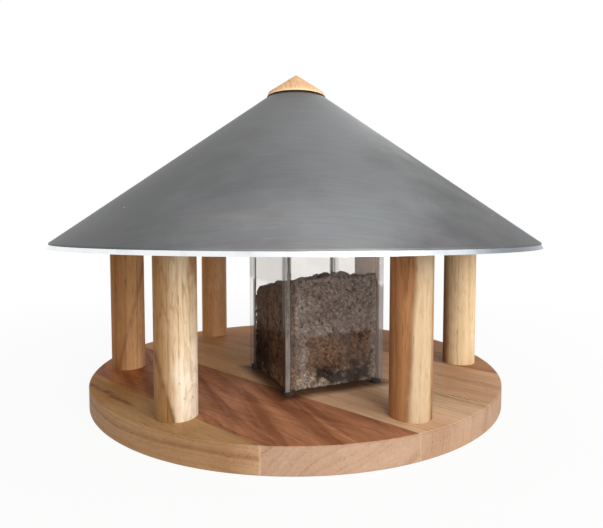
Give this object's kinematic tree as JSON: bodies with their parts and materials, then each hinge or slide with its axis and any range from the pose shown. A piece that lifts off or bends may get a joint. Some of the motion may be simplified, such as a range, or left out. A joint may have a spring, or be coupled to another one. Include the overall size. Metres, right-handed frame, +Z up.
{
  "type": "bird feeder",
  "caption": "Round oak bird feeder: round posts on a glued oak base carry a conical zinc roof that lifts off, with an oak finial, over a loose square glass seed silo.",
  "frame": {"origin": "centre of the round base's underside, on the floor", "axes": "+Z up along the axis of the base and the cone roof; -Y is the front, +X to the right seen from the front"},
  "size_m": [0.4599, 0.46, 0.3161],
  "materials": {
    "base_oak": "oiled, satin",
    "post_oak": "oiled, satin",
    "ring_oak": "planed, untreated",
    "finial_oak": "turned, oiled",
    "roof_zinc": "matt pre-weathered zinc sheet",
    "edge_zinc": "zinc sheet, brighter where it is bent",
    "silo_glass": "clear float glass with ground edges",
    "rubber_pad": "dark soft rubber",
    "seed": "fine mixed seed",
    "fixing_steel": "zinc plated"
  },
  "bodies": {
    "stand": {"base_stave_1": "base_oak", "base_stave_2": "base_oak", "base_stave_3": "base_oak", "base_stave_4": "base_oak", "base_stave_5": "base_oak", "post_1": "post_oak", "post_2": "post_oak", "post_3": "post_oak", "post_4": "post_oak", "post_5": "post_oak", "post_6": "post_oak", "head_ring": "ring_oak", "silo_pane_front": "silo_glass", "silo_pane_right": "silo_glass", "silo_pane_back": "silo_glass", "silo_pane_left": "silo_glass", "silo_pads": "rubber_pad", "seed_fill": "seed"},
    "roof": {"roof_cone": "roof_zinc", "roof_drip_edge": "edge_zinc", "roof_seam": "roof_zinc", "finial": "finial_oak", "roof_plug": "ring_oak", "finial_washer": "fixing_steel", "finial_screw": "fixing_steel"}
  },
  "joints": [
    {"name": "roof_lift", "type": "slide", "parent": "stand", "child": "roof", "axis": [0, 0, 1], "range_m": [0, 0.25]}
  ]
}
